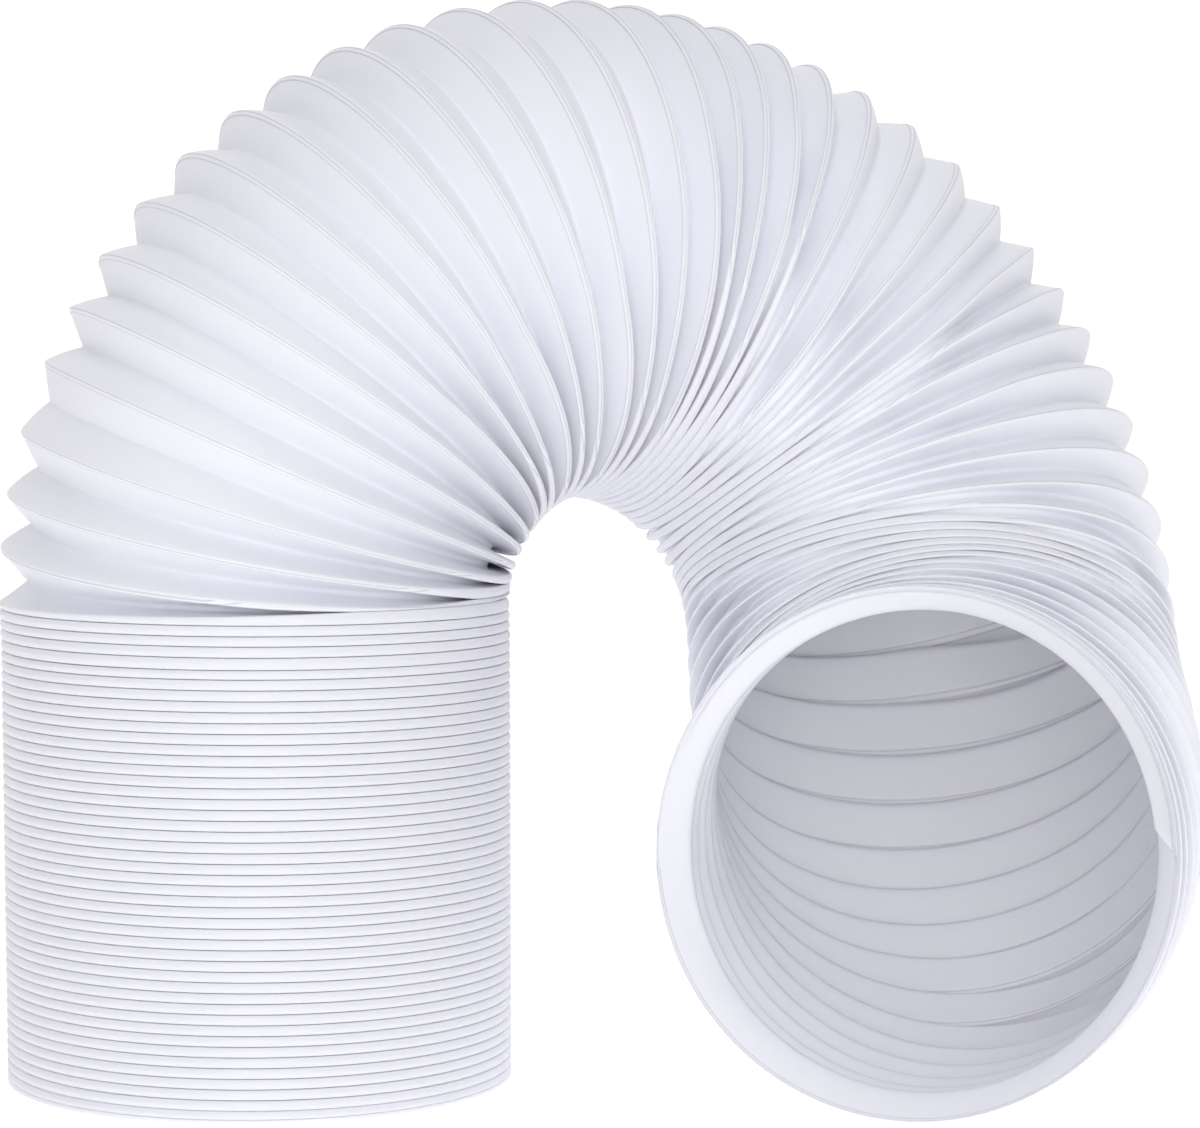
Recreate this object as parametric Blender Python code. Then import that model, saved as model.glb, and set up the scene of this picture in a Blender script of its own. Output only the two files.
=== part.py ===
# One flexible exhaust hose of a portable air conditioner, made of a single white
# plastic strip. The strip is folded along its middle, wound edge to edge and crimped
# to itself, so the hose is one piece with one wall. It stands on one open end, which
# is pushed fully together. From there it is pulled open into an arch that leans back,
# comes down beside the standing end and turns forward, so that the other open end
# faces the front and rests on the floor with the lowest point of its rim.

import bmesh
import bpy
import math
import numpy as np

for item in list(bpy.data.objects):
    bpy.data.objects.remove(item, do_unlink=True)

# Round section of the hose.
OUTER_RADIUS = 0.0750
WALL = 0.0016
CLOSED_DEPTH = 0.0128
RIM_DEPTH = 0.0036
RIM_ROUNDING = 0.0006

# Each pleat is one strip turn, folded along its middle. Its side is half the strip's
# width, and the falling side of the arch has its pleats pulled flatter.
RISING_SIDE = 0.0118
FALLING_SIDE = 0.0104
RISING_UNTIL = 9.0
FALLING_FROM = 30.0
FLATTEST = 0.93

# A pleat that spreads less than this is closed: its neighbours touch it, and only the
# groove between the crests is left.
CLOSED_SPREAD = 0.0029
OPEN_SPREAD = 0.0032
CLOSED_GROOVE = 0.0014

# Strip turns, counted from the floor under the standing end.
STANDING_PITCH = 0.00288
PRESSED_PITCH = 0.00273
STANDING_TURNS = 47.4
ARCH_TURNS = 46.5

# Direction in which the hose runs, at a number of turns after the standing end.
COURSE = (
    (-3.0, 0.000, 0.000, 1.000),
    (0.0, 0.007, -0.041, 0.999),
    (3.0, 0.301, 0.030, 0.953),
    (6.0, 0.520, 0.216, 0.827),
    (9.0, 0.725, 0.338, 0.601),
    (12.0, 0.830, 0.455, 0.323),
    (15.0, 0.873, 0.488, -0.011),
    (18.0, 0.882, 0.393, -0.259),
    (21.0, 0.839, 0.211, -0.502),
    (24.0, 0.667, 0.048, -0.744),
    (27.0, 0.474, -0.188, -0.860),
    (30.0, 0.231, -0.295, -0.927),
    (33.0, 0.030, -0.540, -0.841),
    (36.0, 0.050, -0.769, -0.637),
    (39.0, -0.040, -0.904, -0.426),
    (42.0, -0.268, -0.942, -0.201),
    (46.5, -0.330, -0.938, 0.111),
)

# The strip ends at this share of a turn round the mouth.
STRIP_END = 0.403

# Fineness of the faces.
SIDES = 20
STEPS_PER_TURN = 10


def smooth_curve(stops, values, wanted):
    """Natural cubic curve through the values, read at the wanted places."""
    count = len(stops)
    gap = np.diff(stops)
    matrix = np.eye(count)
    right = np.zeros((count, values.shape[1]))
    for i in range(1, count - 1):
        matrix[i, i - 1] = gap[i - 1]
        matrix[i, i] = 2.0 * (gap[i - 1] + gap[i])
        matrix[i, i + 1] = gap[i]
        rise = (values[i + 1] - values[i]) / gap[i]
        rise_before = (values[i] - values[i - 1]) / gap[i - 1]
        right[i] = 6.0 * (rise - rise_before)
    bend = np.linalg.solve(matrix, right)
    place = np.clip(np.searchsorted(stops, wanted) - 1, 0, count - 2)
    g = gap[place][:, None]
    a = (stops[place + 1] - wanted)[:, None] / g
    b = 1.0 - a
    straight = a * values[place] + b * values[place + 1]
    bow = (a ** 3 - a) * bend[place] + (b ** 3 - b) * bend[place + 1]
    return straight + bow * g * g / 6.0


def centre_line():
    """Turn number, centre, direction, bend and two cross directions along the hose."""
    course = np.array(COURSE)
    count = int(STEPS_PER_TURN * (STANDING_TURNS + ARCH_TURNS)) + 1
    turns = np.linspace(-STANDING_TURNS, ARCH_TURNS, count)
    way = smooth_curve(course[:, 0], course[:, 1:], np.maximum(turns, course[0, 0]))
    way /= np.linalg.norm(way, axis=1)[:, None]
    step = turns[1] - turns[0]
    bend = np.gradient(way, step, axis=0)
    closed = np.interp(turns, (-1.5, 1.5), (STANDING_PITCH, PRESSED_PITCH))
    advance = closed + OUTER_RADIUS * np.linalg.norm(bend, axis=1)
    move = advance[:, None] * way
    centre = np.zeros_like(way)
    centre[1:] = np.cumsum((move[1:] + move[:-1]) * 0.5 * step, axis=0)
    first = np.zeros_like(way)
    first[0] = (1.0, 0.0, 0.0)
    for i in range(1, len(turns)):
        turned = first[i - 1] - way[i] * np.dot(first[i - 1], way[i])
        first[i] = turned / np.linalg.norm(turned)
    # The strip is wound left-handed, so the angle runs the other way round.
    second = np.cross(first, way)
    return turns, centre, way, bend, advance, first, second


LINE = centre_line()


def read_line(column, turn):
    """Value of one column of the centre line at a turn number."""
    table = LINE[column]
    if table.ndim == 1:
        return float(np.interp(turn, LINE[0], table))
    return np.array([np.interp(turn, LINE[0], table[:, k]) for k in range(3)])


def outward(turn, angle):
    """Unit vector from the centre line to the wall."""
    first = read_line(5, turn)
    second = read_line(6, turn)
    ray = first * math.cos(angle) + second * math.sin(angle)
    return ray / np.linalg.norm(ray)


def spread(turn, angle):
    """Distance from one crest to the next on this side of the hose."""
    lean = float(np.dot(read_line(3, turn), outward(turn, angle)))
    return max(read_line(4, turn) - OUTER_RADIUS * lean, PRESSED_PITCH)


def fold_depth(turn, angle):
    """How far the fold reaches inward from the crests."""
    side = float(np.interp(turn, (RISING_UNTIL, FALLING_FROM), (RISING_SIDE, FALLING_SIDE)))
    half = min(spread(turn, angle) * 0.5, side * FLATTEST)
    return math.sqrt(side ** 2 - half ** 2)


def wall_radius(turn, angle, crest, inside):
    """Radius of the wall on a crest line or a valley line, outside or inside."""
    deep = fold_depth(turn, angle)
    opened = (spread(turn, angle) - CLOSED_SPREAD) / (OPEN_SPREAD - CLOSED_SPREAD)
    opened = min(max(opened, 0.0), 1.0)
    filled = (deep - CLOSED_GROOVE) * (1.0 - opened)
    if inside:
        return OUTER_RADIUS - WALL - (filled if crest else deep)
    return OUTER_RADIUS - (0.0 if crest else deep - filled)


def round_angle(i):
    return 2.0 * math.pi * (i / SIDES + STRIP_END)


class Skin:
    """Points and faces of the hose wall."""

    def __init__(self):
        self.points = []
        self.faces = []

    def point(self, turn, angle, radius):
        place = read_line(1, turn) + outward(turn, angle) * radius
        self.points.append((float(place[0]), float(place[1]), float(place[2])))
        return len(self.points) - 1

    def ring(self, turn, radius):
        return [self.point(turn, round_angle(i), radius) for i in range(SIDES)]

    def face(self, corners, flip):
        self.faces.append(tuple(corners) if flip else tuple(reversed(corners)))

    def band(self, low, high, flip):
        for i in range(SIDES):
            j = (i + 1) % SIDES
            self.face((low[i], low[j], high[j], high[i]), flip)

    def winding(self, low_ring, high_ring, start, stop, inside):
        """Helical rows of crests and valleys between two level rings."""
        rows = []
        count = int(round((stop - start - 1.0) * 2.0))
        for k in range(count + 1):
            row = []
            for i in range(SIDES):
                angle = round_angle(i)
                turn = start + k * 0.5 + i / SIDES
                radius = wall_radius(turn, angle, k % 2 == 1, inside)
                row.append(self.point(turn, angle, radius))
            rows.append(row)
        flip = inside
        for i in range(SIDES - 1):
            self.face((low_ring[i], low_ring[i + 1], rows[0][i + 1], rows[0][i]), flip)
        self.face((low_ring[-1], low_ring[0], rows[0][0], rows[0][-1]), flip)
        self.face((rows[0][-1], rows[0][0], rows[1][0]), flip)
        self.face((rows[0][-1], rows[1][0], rows[2][0]), flip)
        for k in range(count):
            for i in range(SIDES):
                if i + 1 < SIDES:
                    right_low = rows[k][i + 1]
                    right_high = rows[k + 1][i + 1]
                elif k + 3 <= count:
                    right_low = rows[k + 2][0]
                    right_high = rows[k + 3][0]
                else:
                    continue
                self.face((rows[k][i], right_low, right_high, rows[k + 1][i]), flip)
        last = rows[count]
        for i in range(SIDES - 1):
            self.face((last[i], last[i + 1], high_ring[i + 1], high_ring[i]), flip)
        self.face((rows[count - 2][-1], last[0], rows[count - 1][-1]), flip)
        self.face((rows[count - 1][-1], last[0], last[-1]), flip)
        self.face((last[-1], last[0], high_ring[0], high_ring[-1]), flip)


def winding_end(start):
    """Where a winding stops that begins at this turn and runs up to the mouth."""
    return start + math.floor((ARCH_TURNS - 0.1 + 1.0 / SIDES - start) * 2.0) / 2.0


def build_hose():
    skin = Skin()
    bottom = -STANDING_TURNS
    top = ARCH_TURNS
    bore_radius = OUTER_RADIUS - CLOSED_DEPTH

    # The bore of the standing end, then the folded inside of the arch.
    inner_low = skin.ring(bottom, bore_radius)
    inner_middle = skin.ring(bottom * 0.5, bore_radius)
    inner_start = skin.ring(-0.6, bore_radius)
    skin.band(inner_low, inner_middle, True)
    skin.band(inner_middle, inner_start, True)
    inner_high = skin.ring(top, OUTER_RADIUS - RIM_DEPTH)
    skin.winding(inner_start, inner_high, STRIP_END, winding_end(STRIP_END), True)

    # The outside of all the turns, and the flat ring at each open end.
    outer_low = skin.ring(bottom, OUTER_RADIUS - RIM_ROUNDING)
    outer_high = skin.ring(top, OUTER_RADIUS - RIM_ROUNDING)
    first_row = math.ceil(bottom - STRIP_END) + STRIP_END
    skin.winding(outer_low, outer_high, first_row, winding_end(first_row), False)
    skin.band(inner_low, outer_low, False)
    skin.band(outer_high, inner_high, False)
    return skin


skin = build_hose()
mesh = bpy.data.meshes.new("hose")
mesh.from_pydata(skin.points, [], skin.faces)
mesh.update()
solid = bmesh.new()
solid.from_mesh(mesh)
bmesh.ops.triangulate(solid, faces=[face for face in solid.faces if len(face.verts) > 3])
solid.to_mesh(mesh)
solid.free()

# The lowest point of the standing rim is the floor.
low = min(vertex.co.z for vertex in mesh.vertices)
side = [vertex.co.x for vertex in mesh.vertices]
back = [vertex.co.y for vertex in mesh.vertices]
middle = ((min(side) + max(side)) / 2.0, (min(back) + max(back)) / 2.0)
for vertex in mesh.vertices:
    vertex.co.x -= middle[0]
    vertex.co.y -= middle[1]
    vertex.co.z -= low

hose = bpy.data.objects.new("hose", mesh)
bpy.context.scene.collection.objects.link(hose)

white_plastic = bpy.data.materials.new("white_polypropylene")
white_plastic.use_nodes = True
shader = white_plastic.node_tree.nodes["Principled BSDF"]
shader.inputs["Base Color"].default_value = (0.84, 0.84, 0.87, 1.0)
shader.inputs["Roughness"].default_value = 0.42
shader.inputs["Metallic"].default_value = 0.0
mesh.materials.append(white_plastic)

bpy.context.view_layer.objects.active = hose
hose.select_set(True)
bpy.ops.object.shade_smooth()
mesh.set_sharp_from_angle(angle=math.radians(30.0))
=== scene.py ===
# A flexible exhaust hose in a bright photo studio: a white, spiral-wound hose that
# stands on one pushed-together end, arches over and lies with its open mouth to the
# front.
import math

import bpy
import numpy as np
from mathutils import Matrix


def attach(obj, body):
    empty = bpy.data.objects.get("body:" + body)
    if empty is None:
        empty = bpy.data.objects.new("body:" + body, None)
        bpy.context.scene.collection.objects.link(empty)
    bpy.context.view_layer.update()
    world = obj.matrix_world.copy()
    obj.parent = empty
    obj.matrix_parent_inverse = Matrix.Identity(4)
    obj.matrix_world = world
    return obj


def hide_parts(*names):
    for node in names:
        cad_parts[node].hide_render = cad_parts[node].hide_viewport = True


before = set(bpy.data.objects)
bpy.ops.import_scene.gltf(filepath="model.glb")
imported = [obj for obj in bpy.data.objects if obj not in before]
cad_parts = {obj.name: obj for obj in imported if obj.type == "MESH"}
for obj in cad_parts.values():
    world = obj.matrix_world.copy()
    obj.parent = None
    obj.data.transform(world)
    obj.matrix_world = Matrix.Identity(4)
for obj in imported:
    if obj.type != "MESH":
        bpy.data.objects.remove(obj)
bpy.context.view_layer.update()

# The hose. One strip of white polypropylene is folded along its middle, wound
# left-handed and crimped to its own neighbour on every crest. There is no wire in it:
# the folds alone hold the shape that it was pulled into.
outer_radius = 0.0750
closed_bead_radius = 0.00146
open_bead_radius = 0.00085
bead_clearance = 0.00002
bead_flattening = 0.35
valley_radius = 0.00085
rising_side = 0.0119
falling_side = 0.0102
mouth_side = 0.0114
face_bulge = 0.0003
hem_width = 0.0015
hem_step = 0.0002
strip_thickness = 0.00045
standing_pitch = 0.00288
pressed_pitch = 0.00273
end_rise = 0.0013
standing_turns = 47.4
arch_turns = 46.5
tilt_turns = 0.8
foot = np.array((-0.102141, -0.025977, 0.000154))
seam_phase = 0.5
strip_start = -47.75
strip_end = 45.903
mouth_lag = 0.35
first_pleats = (0.0, 0.10, -0.08, -0.16, 0.0)
cut_slant = 0.02
hidden_hem = 0.005

# Turns that are shut in groups: their number, where they are, how wide such pleats get.
group_size = 3.0
group_turns = (3.0, 8.0, 26.0, 32.0)
group_limit = 4.0
group_share = 0.6

# How far the pleats lean back from the crests: not at all up to the top of the arch,
# somewhat where the hose comes down, and like nested cups at the mouth.
lean_turns = (28.0, 33.0, 38.0, 45.5)
lean_degrees = (0.0, 42.0, 50.0, 45.0)

# Behind the mouth the pleats at the back are pulled so wide that each lies over the next.
swept_turns = (27.5, 30.0, 38.0, 41.0)
swept_share = 0.95
swept_flattening = 0.3
shallowest_sweep = 0.0038

# Nearly shut pleats: how deep they look from outside and up to which spacing.
groove_depth = 0.0012
groove_spacing = (1.7, 2.9)
groove_turns = (0.0, 1.0, 3.0, 16.0, 21.0)
groove_filling = (0.0, 0.4, 0.2, 0.3, 0.9)

course = np.array((
    (-3.0, 0.000, 0.000, 1.000),
    (0.0, 0.007, -0.041, 0.999),
    (3.0, 0.301, 0.030, 0.953),
    (6.0, 0.520, 0.216, 0.827),
    (9.0, 0.725, 0.338, 0.601),
    (12.0, 0.830, 0.455, 0.323),
    (15.0, 0.873, 0.488, -0.011),
    (18.0, 0.882, 0.393, -0.259),
    (21.0, 0.839, 0.211, -0.502),
    (24.0, 0.667, 0.048, -0.744),
    (27.0, 0.474, -0.188, -0.860),
    (30.0, 0.231, -0.295, -0.927),
    (33.0, 0.030, -0.540, -0.841),
    (36.0, 0.050, -0.769, -0.637),
    (39.0, -0.040, -0.904, -0.426),
    (42.0, -0.268, -0.942, -0.201),
    (46.5, -0.330, -0.938, 0.111),
))


def smooth_curve(stops, values, wanted):
    """Natural cubic curve through the values, read at the wanted places."""
    count = len(stops)
    gap = np.diff(stops)
    matrix = np.eye(count)
    right = np.zeros((count, values.shape[1]))
    for i in range(1, count - 1):
        matrix[i, i - 1] = gap[i - 1]
        matrix[i, i] = 2.0 * (gap[i - 1] + gap[i])
        matrix[i, i + 1] = gap[i]
        rise = (values[i + 1] - values[i]) / gap[i]
        rise_before = (values[i] - values[i - 1]) / gap[i - 1]
        right[i] = 6.0 * (rise - rise_before)
    bend = np.linalg.solve(matrix, right)
    place = np.clip(np.searchsorted(stops, wanted) - 1, 0, count - 2)
    g = gap[place][:, None]
    a = (stops[place + 1] - wanted)[:, None] / g
    b = 1.0 - a
    straight = a * values[place] + b * values[place + 1]
    bow = (a ** 3 - a) * bend[place] + (b ** 3 - b) * bend[place + 1]
    return straight + bow * g * g / 6.0


line_turns = np.linspace(-standing_turns, arch_turns, int(10 * (standing_turns + arch_turns)) + 1)
way = smooth_curve(course[:, 0], course[:, 1:], np.maximum(line_turns, course[0, 0]))
way /= np.linalg.norm(way, axis=1)[:, None]
line_step = line_turns[1] - line_turns[0]
bend = np.gradient(way, line_step, axis=0)
closed = np.interp(line_turns, (-1.5, 1.5), (standing_pitch, pressed_pitch))
advance = closed + outer_radius * np.linalg.norm(bend, axis=1)
move = advance[:, None] * way
centre = np.zeros_like(way)
centre[1:] = np.cumsum((move[1:] + move[:-1]) * 0.5 * line_step, axis=0)
centre += foot
length = np.zeros_like(line_turns)
length[1:] = np.cumsum((advance[1:] + advance[:-1]) * 0.5 * line_step)
# The turns of the standing end lie level, also the last ones below the arch.
tilted = np.clip(line_turns / tilt_turns, 0.0, 1.0)[:, None]
facing = way * tilted + np.array((0.0, 0.0, 1.0)) * (1.0 - tilted)
facing /= np.linalg.norm(facing, axis=1)[:, None]
first = np.zeros_like(way)
first[0] = (1.0, 0.0, 0.0)
for i in range(1, len(line_turns)):
    turned = first[i - 1] - facing[i] * np.dot(first[i - 1], facing[i])
    first[i] = turned / np.linalg.norm(turned)
second = np.cross(first, facing)


def along(table, turns):
    """Table of the centre line read at any turn numbers."""
    return np.stack([np.interp(turns, line_turns, table[:, k]) for k in range(3)], axis=-1)


def wall_points(turns, angles, radii):
    """Points of the wall at turn numbers, angles round the hose and radii."""
    ray = along(first, turns) * np.cos(angles)[..., None] + along(second, turns) * np.sin(angles)[..., None]
    ray /= np.linalg.norm(ray, axis=-1)[..., None]
    return along(centre, turns) + ray * radii[..., None]


standing_length = np.interp(0.0, line_turns, length)
rim_length = length[-1]


def grouped(seam):
    """How far a crest moves towards its neighbours where the pleats are half open.

    There a pleat is rather shut or open than half open, in groups of a few turns.
    """
    angles = 2.0 * math.pi * (seam - seam_phase)
    ray = along(first, seam) * np.cos(angles)[..., None] + along(second, seam) * np.sin(angles)[..., None]
    lean_in = (along(bend, seam) * ray).sum(axis=-1)
    spacing = np.interp(seam, line_turns, advance) - outer_radius * lean_in
    room = np.clip(1.0 - pressed_pitch / spacing, 0.0, 1.0)
    half_open = np.clip((group_limit - spacing / pressed_pitch) / 1.5, 0.0, 1.0)
    where = np.interp(seam, group_turns, (0.0, 1.0, 1.0, 0.0))
    swing = np.sin(2.0 * math.pi * seam / group_size) / (2.0 * math.sin(math.pi / group_size))
    return swing * room * half_open * where * group_share


def seam_place(seam):
    """Where a crest seam lies on the centre line: even turns below, a flat rim at the mouth."""
    risen = np.interp(
        seam,
        (strip_start, strip_start + 1.0, strip_start + 2.0, 0.0),
        (0.0, end_rise, end_rise + standing_pitch, standing_length),
    )
    standing = np.interp(risen, length, line_turns)
    lag = mouth_lag * np.clip((seam - 36.0) / 8.0, 0.0, 1.0) ** 2
    sagged = np.interp(seam, (0.0, 1.0, 2.0, 3.0, 4.0), first_pleats)
    place = np.where(seam < 0.0, standing, seam + lag + sagged + grouped(seam))
    last_turn = strip_end - 1.0
    before_rim = np.interp(rim_length - end_rise, length, line_turns)
    levelled = np.interp(
        seam - last_turn, (0.0, 1.0, 2.0), (last_turn + mouth_lag, before_rim, arch_turns)
    )
    return np.where(seam > last_turn, levelled, place)


def slope_for(half, bead, side):
    """Slope of the faces of a pleat whose crests are twice the half apart."""
    low = np.zeros_like(half)
    high = np.full_like(half, 2.0)
    for k in range(24):
        slope = (low + high) * 0.5
        flat = side - (bead + valley_radius) * slope
        reach = (bead + valley_radius) * np.sin(slope) + flat * np.cos(slope)
        low = np.where(reach > half, slope, low)
        high = np.where(reach > half, high, slope)
    return slope


def fold_half(half, bead, shut, side, thickness, hemmed):
    """Rows from a crest to the valley: distance along, depth, distance on the strip."""
    squash = 1.0 - bead_flattening * shut
    slope = slope_for(half, bead, side)
    flat = side - (bead + valley_radius) * slope
    rows = []
    for k in range(5):
        a = slope * k / 4.0
        crest = bead - thickness
        rows.append((crest * np.sin(a), (bead - crest * np.cos(a)) * squash, bead * a))
    start = bead * np.sin(slope)
    start_depth = bead * (1.0 - np.cos(slope)) * squash
    stops = [(0.2, 0.0), (0.5, 0.0), (0.8, 0.0)]
    if hemmed:
        edge = np.maximum((hem_width - bead * slope) / flat, 0.01)
        stops = [(edge, 0.0), (edge + 0.01, hem_step), (0.25, hem_step), (0.5, hem_step), (0.8, hem_step * 0.5)]
    for share, step in stops:
        bulge = face_bulge * 4.0 * share * (1.0 - share) * np.maximum(np.cos(slope), 0.0) ** 0.5
        out = bulge - step - thickness
        rows.append((
            start + flat * share * np.cos(slope) + out * np.sin(slope),
            start_depth + flat * share * np.sin(slope) - out * np.cos(slope),
            bead * slope + flat * share,
        ))
    floor = start_depth + flat * np.sin(slope) + valley_radius * (1.0 - np.cos(slope))
    root = valley_radius + thickness
    for k in range(4):
        a = slope * (1.0 - k / 3.0)
        rows.append((
            half - root * np.sin(a),
            floor + thickness - root * (1.0 - np.cos(a)),
            side - valley_radius * a,
        ))
    return rows


def fold_section(spacing, shut, side, thickness):
    """Rows of one pleat from crest to crest, with the crimped hem below the upper crest."""
    half = spacing * 0.5
    bead = open_bead_radius + (closed_bead_radius - open_bead_radius) * shut
    bead = np.minimum(bead, half - bead_clearance)
    rising = fold_half(half, bead, shut, side, thickness, False)
    falling = fold_half(half, bead, shut, side, thickness, True)[-2::-1]
    places = [row[0] for row in rising] + [spacing - row[0] for row in falling]
    depths = [row[1] for row in rising] + [row[1] for row in falling]
    strip = [row[2] for row in rising] + [2.0 * side - row[2] for row in falling]
    return np.stack(places), np.stack(depths), np.stack(strip)


def wind_strip(name, start, stop, sides, loose_start, loose_stop):
    """Mesh of the strip from one turn number to another, crimped to itself."""
    columns = int(round((stop - start) * sides))
    seam = start + (stop - start) * np.arange(columns + 1) / columns
    angles = 2.0 * math.pi * (seam - seam_phase)
    low = seam_place(seam)
    high = seam_place(seam + 1.0)
    radius = np.full(seam.shape, outer_radius)
    spacing = np.linalg.norm(wall_points(high, angles, radius) - wall_points(low, angles, radius), axis=-1)
    pitch = np.maximum(spacing, pressed_pitch)
    side = np.interp(seam, (9.0, 30.0, 40.0, strip_end), (rising_side, falling_side, falling_side, mouth_side))
    lean = np.radians(np.interp(seam, lean_turns, lean_degrees))
    shut = 1.0 - np.clip((spacing - 1.1 * pressed_pitch) / pressed_pitch, 0.0, 1.0)
    cut = cut_slant * np.clip(1.0 - 5.0 * (strip_end - seam), 0.0, 1.0)
    deepest = fold_section(pitch, shut, side, 0.0)[1].max(axis=0)
    missing = np.maximum(pitch * 0.5 * swept_share - deepest * np.sin(lean), 0.0)
    swept_here = np.interp(seam, swept_turns, (0.0, 1.0, 1.0, 0.0))
    ray = along(first, seam) * np.cos(angles)[..., None] + along(second, seam) * np.sin(angles)[..., None]
    at_back = np.clip(ray[..., 1] * 1.6, 0.0, 1.0)
    swept = missing / np.maximum(deepest, shallowest_sweep) * swept_here * at_back
    flatter = 1.0 - swept_flattening * swept_here * at_back * np.clip(missing / (0.3 * pitch), 0.0, 1.0)
    narrow = np.interp(pitch / pressed_pitch, groove_spacing, (1.0, 0.0))
    filling = narrow * np.interp(seam, groove_turns, groove_filling)
    faces = []
    points = []
    across = []
    grids = []
    count = 0
    for thickness in (0.0, strip_thickness):
        places, depths, strip = fold_section(pitch, shut, side, thickness)
        rows = places.shape[0]
        if not thickness:
            deeper = np.maximum(depths - groove_depth, 0.0)
            depths = depths - deeper * filling
        back = depths * (np.sin(lean) + swept)
        turns = low + (high - low) * (places / pitch - back / spacing)
        bent = angles - 2.0 * math.pi * cut * depths / side
        spots = wall_points(turns, bent, outer_radius - depths * np.cos(lean) * flatter)
        ids = count + np.arange(rows * (columns + 1)).reshape(rows, columns + 1)
        count += rows * (columns + 1)
        points.append(spots.reshape(-1, 3))
        # Pushing this coordinate out on shut pleats moves it past the painted crease-shade lines, so fully shut
        # pleats get none of them.
        from_upper = 2.0 * side - strip + hidden_hem * shut
        across.append(np.stack([strip, from_upper], axis=-1).reshape(-1, 2))
        a = ids[:-1, :-1]
        b = ids[:-1, 1:]
        c = ids[1:, 1:]
        d = ids[1:, :-1]
        quads = np.stack([a, b, c, d] if thickness else [a, d, c, b], axis=-1).reshape(-1, 4)
        faces.append(quads)
        grids.append(ids)
    outer, inner = grids
    # The cut edges of the strip, where its thickness shows.
    edges = []
    if loose_start:
        edges.append((outer[:, 0], inner[:, 0], True))
        edges.append((outer[0, :sides + 1], inner[0, :sides + 1], False))
    if loose_stop:
        edges.append((outer[:, -1], inner[:, -1], False))
        edges.append((outer[-1, -sides - 1:], inner[-1, -sides - 1:], True))
    for high_edge, low_edge, flip in edges:
        quad = np.stack([high_edge[:-1], high_edge[1:], low_edge[1:], low_edge[:-1]], axis=-1)
        faces.append(quad[:, ::-1] if flip else quad)
    points = np.concatenate(points)
    across = np.concatenate(across)
    faces = np.concatenate(faces)
    mesh = bpy.data.meshes.new(name)
    mesh.vertices.add(len(points))
    mesh.vertices.foreach_set("co", points.ravel())
    mesh.loops.add(faces.size)
    mesh.loops.foreach_set("vertex_index", faces.ravel().astype(np.int32))
    mesh.polygons.add(len(faces))
    mesh.polygons.foreach_set("loop_start", np.arange(0, faces.size, 4, dtype=np.int32))
    mesh.update(calc_edges=True)
    layer = mesh.uv_layers.new(name="strip")
    layer.data.foreach_set("uv", (across[faces.ravel()] * 100.0).astype(np.float32).ravel())
    mesh.shade_smooth()
    mesh.set_sharp_from_angle(angle=math.radians(60.0))
    piece = bpy.data.objects.new(name, mesh)
    bpy.context.scene.collection.objects.link(piece)
    print(name, len(faces) * 2, "triangles")
    return piece


white = bpy.data.materials.new("white_polypropylene")
white.use_nodes = True
nodes = white.node_tree.nodes
links = white.node_tree.links
shader = nodes["Principled BSDF"]
shader.inputs["Roughness"].default_value = 0.42
shader.inputs["IOR"].default_value = 1.49
shader.inputs["Subsurface Weight"].default_value = 0.28
shader.inputs["Subsurface Radius"].default_value = (1.0, 1.0, 1.1)
shader.inputs["Subsurface Scale"].default_value = 0.002
strip_map = nodes.new("ShaderNodeUVMap")
strip_map.uv_map = "strip"
split = nodes.new("ShaderNodeSeparateXYZ")
links.new(strip_map.outputs["UV"], split.inputs["Vector"])
# Two thin lines on each crest, 0.3 mm and 1.5 mm from the upper crest along the strip. They darken the base
# colour as painted shade in the crimp slit and at the edge of the hem, and they also drive a bump for the
# shallow groove there.
crease_groove_and_shade_lines = []
for place, width in ((0.030, 0.032), (0.152, 0.024)):
    away = nodes.new("ShaderNodeMath")
    away.operation = "SUBTRACT"
    away.inputs[1].default_value = place
    links.new(split.outputs["Y"], away.inputs[0])
    size = nodes.new("ShaderNodeMath")
    size.operation = "ABSOLUTE"
    links.new(away.outputs[0], size.inputs[0])
    line = nodes.new("ShaderNodeMapRange")
    line.inputs["From Min"].default_value = 0.0
    line.inputs["From Max"].default_value = width
    line.inputs["To Min"].default_value = 1.0
    line.inputs["To Max"].default_value = 0.0
    links.new(size.outputs[0], line.inputs["Value"])
    crease_groove_and_shade_lines.append(line)
crease_groove_and_painted_shade = nodes.new("ShaderNodeMath")
crease_groove_and_painted_shade.operation = "MAXIMUM"
links.new(crease_groove_and_shade_lines[0].outputs["Result"], crease_groove_and_painted_shade.inputs[0])
links.new(crease_groove_and_shade_lines[1].outputs["Result"], crease_groove_and_painted_shade.inputs[1])
# Painted shade: the lines mix the white towards grey, which stands in for the shadow in the creases.
painted_crease_shade_tint = nodes.new("ShaderNodeMix")
painted_crease_shade_tint.data_type = "RGBA"
painted_crease_shade_tint.inputs["A"].default_value = (0.90, 0.90, 0.97, 1.0)
painted_crease_shade_tint.inputs["B"].default_value = (0.58, 0.58, 0.65, 1.0)
links.new(crease_groove_and_painted_shade.outputs[0], painted_crease_shade_tint.inputs["Factor"])
links.new(painted_crease_shade_tint.outputs["Result"], shader.inputs["Base Color"])
bump = nodes.new("ShaderNodeBump")
bump.invert = True
bump.inputs["Strength"].default_value = 0.5
bump.inputs["Distance"].default_value = 0.00008
links.new(crease_groove_and_painted_shade.outputs[0], bump.inputs["Height"])
links.new(bump.outputs["Normal"], shader.inputs["Normal"])

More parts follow.
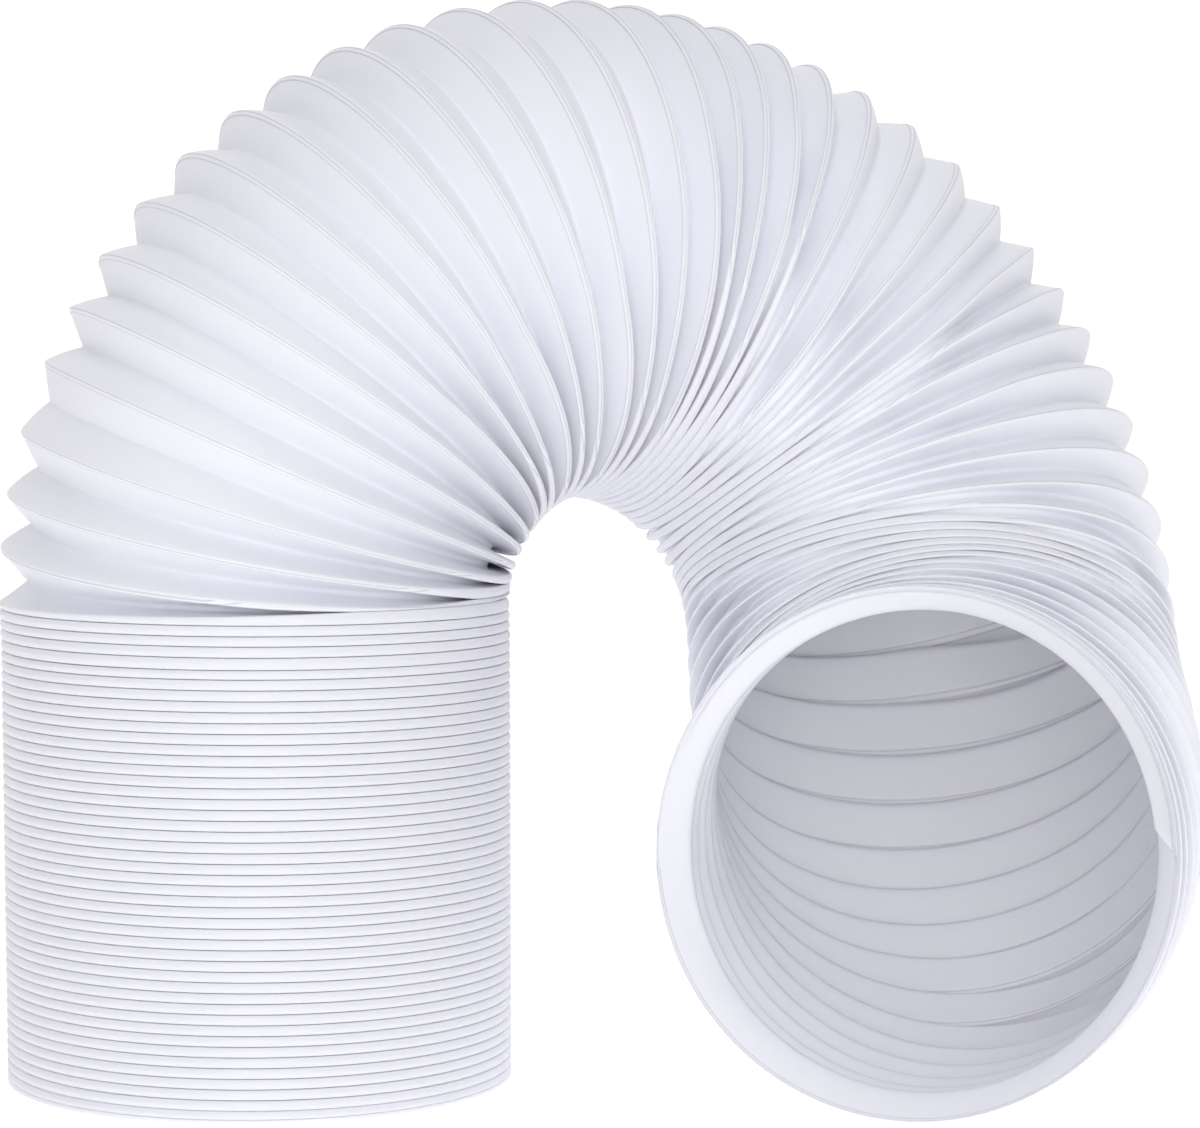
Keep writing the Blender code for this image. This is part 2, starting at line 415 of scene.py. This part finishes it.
standing_sides = 80
arch_sides = 128
cuts = (strip_start, -31.75, -15.75, -0.25, 15.0, 30.0, strip_end)
names = (
    "standing_turns_low", "standing_turns_middle", "standing_turns_high",
    "arch_turns_rising", "arch_turns_top", "mouth_turns",
)
for k, name in enumerate(names):
    sides = standing_sides if k < 3 else arch_sides
    piece = wind_strip(name, cuts[k], cuts[k + 1], sides, k == 0, k == 5)
    piece.data.materials.append(white)
    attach(piece, "root")
    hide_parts("hose")

# The studio: a white table lit from below, which runs up behind the hose.
paper_points = []
paper_faces = []
profile = [(-2.5, 0.0), (1.6, 0.0)]
for k in range(1, 13):
    a = math.radians(90.0 * k / 12.0)
    profile.append((1.6 + 0.8 * math.sin(a), 0.8 - 0.8 * math.cos(a)))
profile.append((2.4, 4.0))
for depth, height in profile:
    paper_points.append((-4.0, depth, height))
    paper_points.append((4.0, depth, height))
for k in range(len(profile) - 1):
    paper_faces.append((2 * k, 2 * k + 1, 2 * k + 3, 2 * k + 2))
paper_mesh = bpy.data.meshes.new("paper_sweep")
paper_mesh.from_pydata(paper_points, [], paper_faces)
paper_mesh.shade_smooth()
paper = bpy.data.objects.new("paper_sweep", paper_mesh)
bpy.context.scene.collection.objects.link(paper)
paper_white = bpy.data.materials.new("paper")
paper_white.use_nodes = True
paper_shader = paper_white.node_tree.nodes["Principled BSDF"]
paper_shader.inputs["Base Color"].default_value = (0.45, 0.45, 0.45, 1.0)
paper_shader.inputs["Roughness"].default_value = 0.9
paper_shader.inputs["Emission Color"].default_value = (1.0, 1.0, 1.0, 1.0)
paper_shader.inputs["Emission Strength"].default_value = 0.75
paper_mesh.materials.append(paper_white)

# Light: a large soft source in front, a low one that reaches into the mouth, one above,
# and the pale room.
for name, place, size, power, aim in (
    ("large_soft_light", (0.15, -2.3, 0.9), 1.5, 11.5, (0.0, 0.0, 0.15)),
    ("low_soft_light", (-0.05, -2.0, 0.12), 0.9, 8.5, (0.08, 0.0, 0.1)),
    ("overhead_soft_light", (0.1, -0.5, 2.2), 1.4, 8.5, (0.0, 0.0, 0.15)),
):
    lamp = bpy.data.lights.new(name, "AREA")
    lamp.shape = "DISK"
    lamp.size = size
    lamp.energy = power
    lamp_object = bpy.data.objects.new(name, lamp)
    lamp_object.location = place
    vector = np.array(aim) - np.array(place)
    lamp_object.rotation_euler = (
        math.atan2(math.hypot(vector[0], vector[1]), -vector[2]),
        0.0,
        math.atan2(vector[1], vector[0]) - math.pi / 2.0,
    )
    bpy.context.scene.collection.objects.link(lamp_object)
room = bpy.data.worlds.new("room")
room.use_nodes = True
room.node_tree.nodes["Background"].inputs["Color"].default_value = (0.97, 0.975, 1.0, 1.0)
room.node_tree.nodes["Background"].inputs["Strength"].default_value = 0.43
bpy.context.scene.world = room
bpy.context.scene.view_settings.view_transform = "Standard"

# Camera at the height and distance of the photo.
lens = bpy.data.cameras.new("camera")
lens.sensor_width = 36.0
lens.lens = 3647.5 * 36.0 / 1200.0
lens.shift_y = (716.1 - 564.0) / 1200.0
camera = bpy.data.objects.new("camera", lens)
camera.location = (-0.00062, -1.10306, 0.21505)
camera.rotation_euler = (math.pi / 2.0 - 0.0991, 0.0, 0.0)
bpy.context.scene.collection.objects.link(camera)
bpy.context.scene.camera = camera
